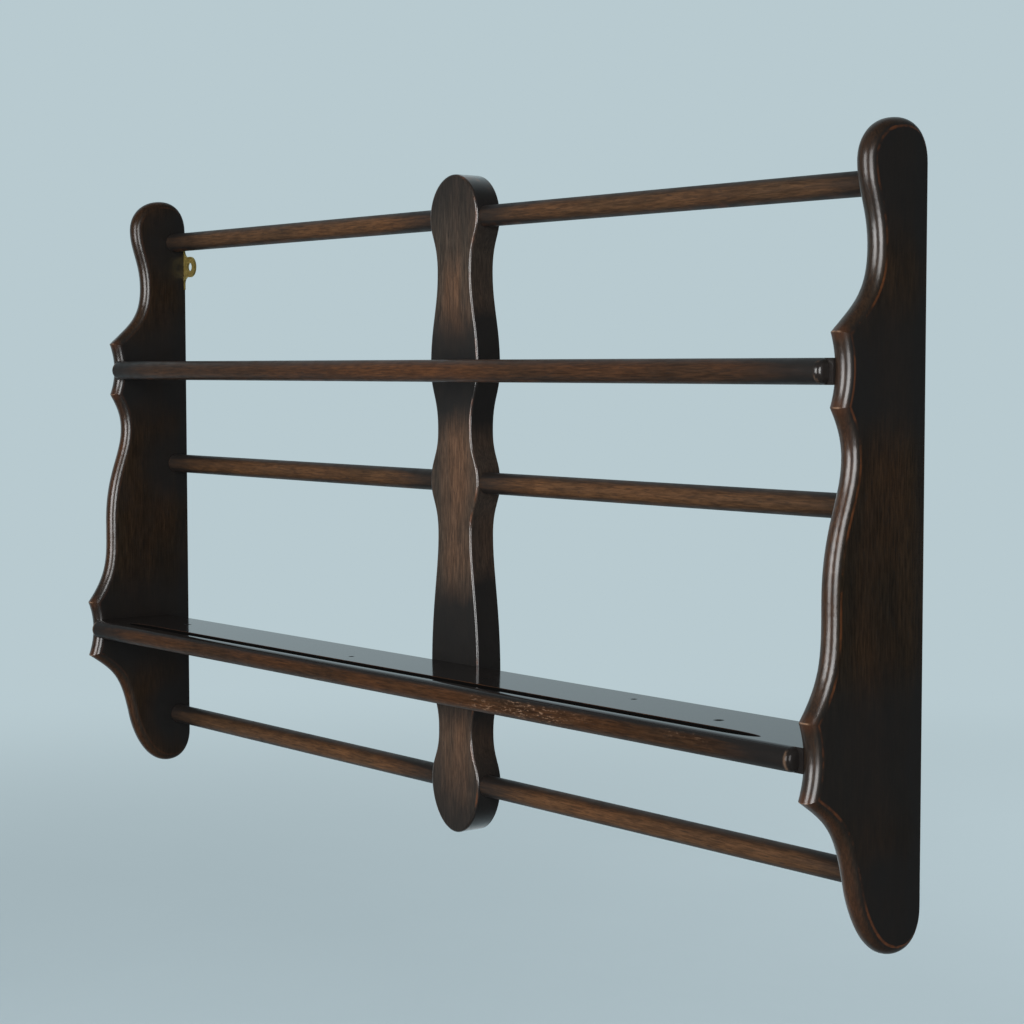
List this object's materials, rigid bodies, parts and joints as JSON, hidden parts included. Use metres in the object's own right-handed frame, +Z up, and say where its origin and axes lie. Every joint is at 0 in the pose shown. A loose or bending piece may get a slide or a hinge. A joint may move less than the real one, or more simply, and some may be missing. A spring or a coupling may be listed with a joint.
{
  "type": "wall plate rack",
  "caption": "Dark-stained wooden wall plate rack: shaped end panels and centre splat joined by turned back rods, a front rail and a grooved shelf, hung on eared brass plates.",
  "frame": {"origin": "on the wall plane, midway between the two hanging holes", "axes": "+X along the rack towards its right end, +Y into the wall, +Z up"},
  "size_m": [0.965, 0.1095, 0.551],
  "materials": {
    "panel_wood": "near-black brown stain shaded darker at the joints, semi-gloss lacquer, arrises rubbed red-brown",
    "splat_wood": "brown stain, semi-gloss lacquer, front arris rubbed pale",
    "rod_wood": "brown stain shaded darker towards the joints, semi-gloss lacquer",
    "rail_wood": "brown stain, semi-gloss lacquer, speckled wear",
    "shelf_wood": "brown stain, glossy lacquer on top, speckled wear on the nose",
    "dowel_wood": "bare beech",
    "plate_brass": "aged, dull",
    "screw_brass": "aged, dull",
    "screw_steel": "plain"
  },
  "bodies": {
    "root": {"centre_splat": "splat_wood", "end_panel_left": "panel_wood", "end_panel_right": "panel_wood", "front_rail": "rail_wood", "hanging_plate_left": "plate_brass", "hanging_plate_right": "plate_brass", "plate_screws_left": "screw_brass", "plate_screws_right": "screw_brass", "rail_pin_left": "dowel_wood", "rail_pin_right": "dowel_wood", "rod_bottom_left": "rod_wood", "rod_bottom_right": "rod_wood", "rod_middle_left": "rod_wood", "rod_middle_right": "rod_wood", "rod_top_left": "rod_wood", "rod_top_right": "rod_wood", "shelf": "shelf_wood", "shelf_dowels_left": "dowel_wood", "shelf_dowels_right": "dowel_wood", "splat_screws": "screw_steel"}
  },
  "joints": []
}
